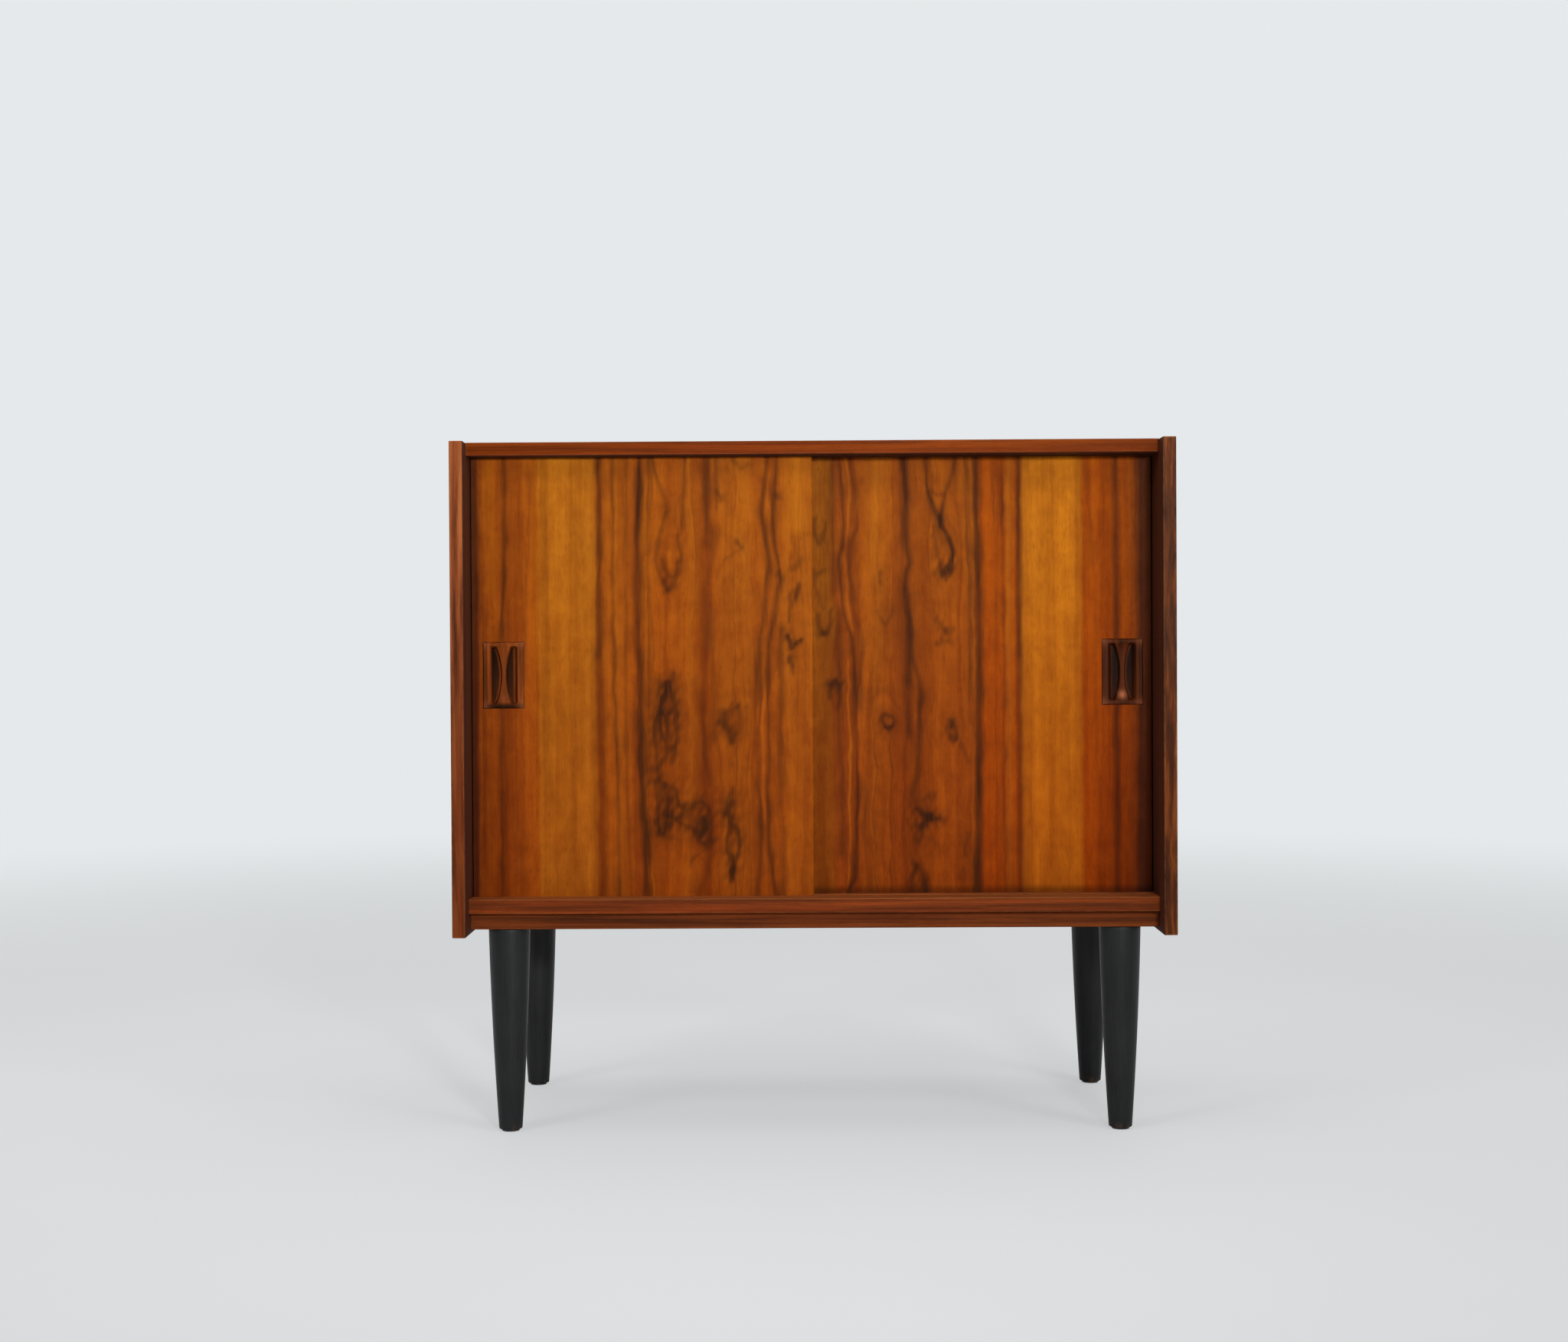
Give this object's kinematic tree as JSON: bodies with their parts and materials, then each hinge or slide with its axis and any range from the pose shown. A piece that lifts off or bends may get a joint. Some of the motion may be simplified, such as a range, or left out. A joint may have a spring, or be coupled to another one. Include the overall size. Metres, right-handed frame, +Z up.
{
  "type": "stereo cabinet",
  "caption": "Low rosewood-veneered cabinet on turned black legs, with overlapping sliding doors, let-in finger pulls, and shelved bays either side of a partition.",
  "frame": {"origin": "on the floor, under the middle of the case's width and depth", "axes": "+X along the width to the right as seen from the front, +Y from the front to the back, +Z up"},
  "size_m": [0.85, 0.4, 0.823],
  "materials": {
    "veneer": "oiled rosewood veneer, satin",
    "lipping": "oiled solid rosewood, satin",
    "door_veneer": "oiled book-matched rosewood veneer with dark figure, satin",
    "pull_wood": "dark solid rosewood, rubbed satin",
    "leg_black": "black stained and lacquered, satin",
    "back_plywood": "stained plywood, matt",
    "nylon": "dark nylon",
    "steel": "zinc plated steel",
    "pin_brass": "turned brass"
  },
  "bodies": {
    "case": {"left_side_panel": "veneer", "right_side_panel": "veneer", "left_side_lipping": "lipping", "right_side_lipping": "lipping", "top_panel": "veneer", "top_lipping": "lipping", "bottom_panel": "veneer", "bottom_lipping": "lipping", "door_track": "lipping", "back_panel": "back_plywood", "centre_partition": "veneer", "partition_lipping": "lipping", "left_shelf": "veneer", "right_shelf": "veneer", "left_shelf_lipping": "lipping", "right_shelf_lipping": "lipping", "left_shelf_pin_outer_front": "pin_brass", "left_shelf_pin_outer_rear": "pin_brass", "left_shelf_pin_inner_front": "pin_brass", "left_shelf_pin_inner_rear": "pin_brass", "right_shelf_pin_outer_front": "pin_brass", "right_shelf_pin_outer_rear": "pin_brass", "right_shelf_pin_inner_front": "pin_brass", "right_shelf_pin_inner_rear": "pin_brass", "front_left_leg": "leg_black", "front_right_leg": "leg_black", "rear_left_leg": "leg_black", "rear_right_leg": "leg_black", "front_left_leg_bolt": "steel", "front_right_leg_bolt": "steel", "rear_left_leg_bolt": "steel", "rear_right_leg_bolt": "steel", "front_left_leg_insert": "steel", "front_right_leg_insert": "steel", "rear_left_leg_insert": "steel", "rear_right_leg_insert": "steel", "front_left_foot_glide": "nylon", "front_right_foot_glide": "nylon", "rear_left_foot_glide": "nylon", "rear_right_foot_glide": "nylon", "back_screw_left_lower": "steel", "back_screw_left_middle": "steel", "back_screw_left_upper": "steel", "back_screw_right_lower": "steel", "back_screw_right_middle": "steel", "back_screw_right_upper": "steel", "track_screw_left": "steel", "track_screw_middle": "steel", "track_screw_right": "steel"},
    "left_sliding_door": {"left_door": "door_veneer", "left_door_pull": "pull_wood", "left_door_runner_left": "nylon", "left_door_runner_right": "nylon"},
    "right_sliding_door": {"right_door": "door_veneer", "right_door_pull": "pull_wood", "right_door_runner_left": "nylon", "right_door_runner_right": "nylon"}
  },
  "joints": [
    {"name": "left_door_slide", "type": "slide", "parent": "case", "child": "left_sliding_door", "axis": [1, 0, 0], "range_m": [0, 0.408]},
    {"name": "right_door_slide", "type": "slide", "parent": "case", "child": "right_sliding_door", "axis": [1, 0, 0], "range_m": [-0.398, 0]}
  ]
}
